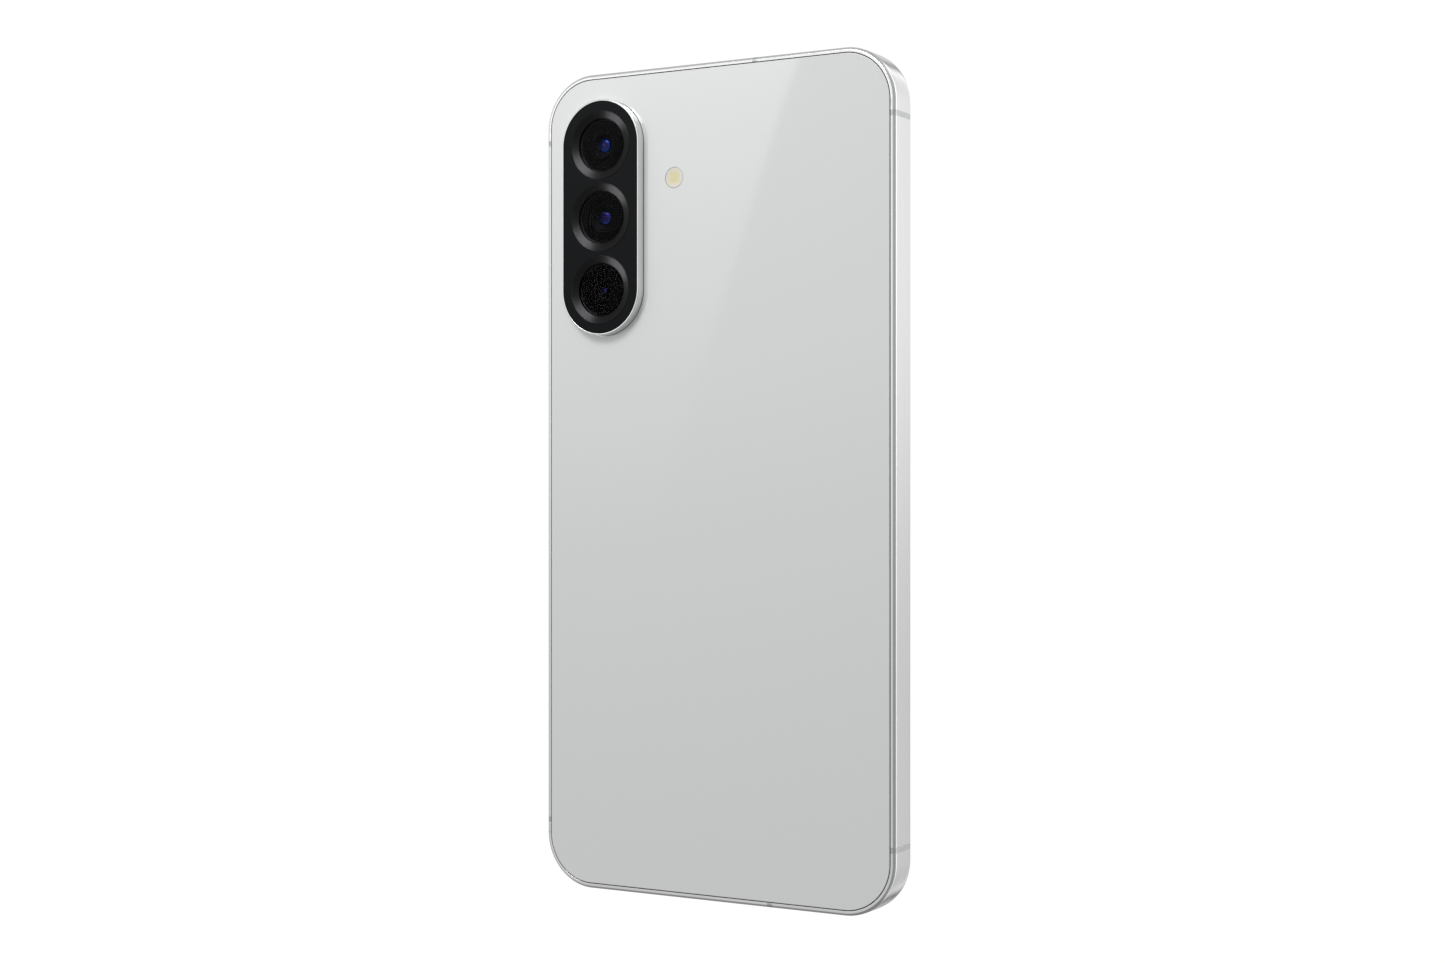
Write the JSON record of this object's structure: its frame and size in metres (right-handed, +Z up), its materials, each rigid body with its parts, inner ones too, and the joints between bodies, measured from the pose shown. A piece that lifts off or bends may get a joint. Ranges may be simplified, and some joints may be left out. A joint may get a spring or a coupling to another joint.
{
  "type": "smartphone",
  "caption": "Upright slab smartphone with a flat metal frame, glass front and back, a raised pill-shaped camera island, side keys, a card tray and a bottom charging port.",
  "frame": {"origin": "middle of the bottom edge, at the mouth of the charging port", "axes": "+Z up the height towards the top edge, +X across the width towards the side with the keys, +Y through the thickness towards the back glass; the display faces -Y"},
  "size_m": [0.0779, 0.0092, 0.1622],
  "materials": {
    "frame_metal": "satin anodised, light grey",
    "band_plastic": "matte light grey",
    "front_glass": "gloss black behind clear glass",
    "back_glass": "gloss light grey behind clear glass",
    "display": "dark panel",
    "black_tape": "matte black foam tape",
    "flex_copper": "amber flexible circuit",
    "cover_black": "gloss black",
    "ring_metal": "dark satin",
    "window": "coated glass",
    "flash": "clear lens",
    "led": "yellow phosphor",
    "steel": "plain",
    "board": "green laminate",
    "black_plastic": "matte black",
    "lens_black": "black barrel",
    "copper": "copper coil",
    "graphite": "dark grey sheet",
    "battery_foil": "dark foil pouch",
    "weight_metal": "sintered heavy metal"
  },
  "bodies": {
    "phone": {"antenna_bands": "band_plastic", "antenna_cable": "black_plastic", "back_glass": "back_glass", "back_glass_tape": "black_tape", "back_shield": "steel", "battery": "battery_foil", "battery_tab": "flex_copper", "board_connectors": "black_plastic", "bottom_bracket": "black_plastic", "bracket_screws": "steel", "camera_cover": "cover_black", "camera_rim": "frame_metal", "display_flex": "flex_copper", "display_panel": "display", "display_tape": "black_tape", "earpiece_mesh": "steel", "earpiece_receiver": "black_plastic", "fingerprint_sensor": "black_plastic", "flash_led": "led", "flash_lens": "flash", "frame": "frame_metal", "front_camera": "lens_black", "front_glass": "front_glass", "front_shield": "steel", "graphite_sheet": "graphite", "key_bracket": "steel", "key_flex": "flex_copper", "lens_rings": "ring_metal", "lens_windows": "window", "loudspeaker_box": "black_plastic", "loudspeaker_driver": "steel", "loudspeaker_mesh": "steel", "macro_camera": "lens_black", "main_board": "board", "main_camera_can": "steel", "main_camera_sensor": "board", "main_flex": "flex_copper", "memory_chip": "black_plastic", "microphones": "steel", "motor_case": "steel", "nfc_coil": "copper", "processor": "black_plastic", "sim_socket": "steel", "sub_board": "board", "top_bracket": "black_plastic", "usb_gasket": "black_tape", "usb_shell": "steel", "usb_tongue": "black_plastic", "wide_camera": "lens_black"},
    "power_key": {"power_key": "frame_metal"},
    "volume_key": {"volume_key": "frame_metal"},
    "sim_tray": {"sim_tray": "frame_metal"},
    "eject_rod": {"eject_rod": "steel"},
    "eject_lever": {"eject_lever": "steel"},
    "motor_weight": {"motor_weight": "weight_metal"},
    "stabiliser_x": {"stabiliser_x_frame": "black_plastic"},
    "stabiliser_z": {"stabiliser_z_frame": "black_plastic"},
    "main_lens": {"main_camera_lens": "lens_black"},
    "loudspeaker_cone": {"loudspeaker_cone": "black_plastic"}
  },
  "joints": [
    {"name": "power_key_press", "type": "slide", "parent": "phone", "child": "power_key", "axis": [-1, 0, 0], "range_m": [0, 0.00025], "stiffness_N_per_m": 1500},
    {"name": "volume_key_rock", "type": "hinge", "parent": "phone", "child": "volume_key", "pos_m": [0.03575, 0, 0.116], "axis": [0, 1, 0], "range_deg": [-1.3, 1.3], "stiffness_Nm_per_rad": 0.1},
    {"name": "sim_tray_slide", "type": "slide", "parent": "phone", "child": "sim_tray", "axis": [0, 0, 1], "range_m": [0, 0.02]},
    {"name": "eject_rod_push", "type": "slide", "parent": "phone", "child": "eject_rod", "axis": [0, 0, -1], "range_m": [0, 0.0008]},
    {"name": "eject_lever_turn", "type": "hinge", "parent": "phone", "child": "eject_lever", "pos_m": [-0.0155, 0.00129, 0.1376], "axis": [0, 1, 0], "range_deg": [0, 15.4]},
    {"name": "motor_spin", "type": "hinge", "parent": "phone", "child": "motor_weight", "pos_m": [-0.024, 0.0005, 0.012], "axis": [0, 1, 0], "continuous": true},
    {"name": "stabiliser_shift_x", "type": "slide", "parent": "phone", "child": "stabiliser_x", "axis": [1, 0, 0], "range_m": [-0.00015, 0.00015], "stiffness_N_per_m": 200},
    {"name": "stabiliser_shift_z", "type": "slide", "parent": "stabiliser_x", "child": "stabiliser_z", "axis": [0, 0, 1], "range_m": [-0.00015, 0.00015], "stiffness_N_per_m": 200},
    {"name": "lens_focus", "type": "slide", "parent": "stabiliser_z", "child": "main_lens", "axis": [0, 1, 0], "range_m": [0, 0.0003], "stiffness_N_per_m": 200},
    {"name": "loudspeaker_stroke", "type": "slide", "parent": "phone", "child": "loudspeaker_cone", "axis": [0, 1, 0], "range_m": [-0.0003, 0.0003], "stiffness_N_per_m": 500}
  ],
  "couplings": [
    {"joint": "eject_lever_turn", "follows": "eject_rod_push", "rad_per_m": 333.33}
  ]
}
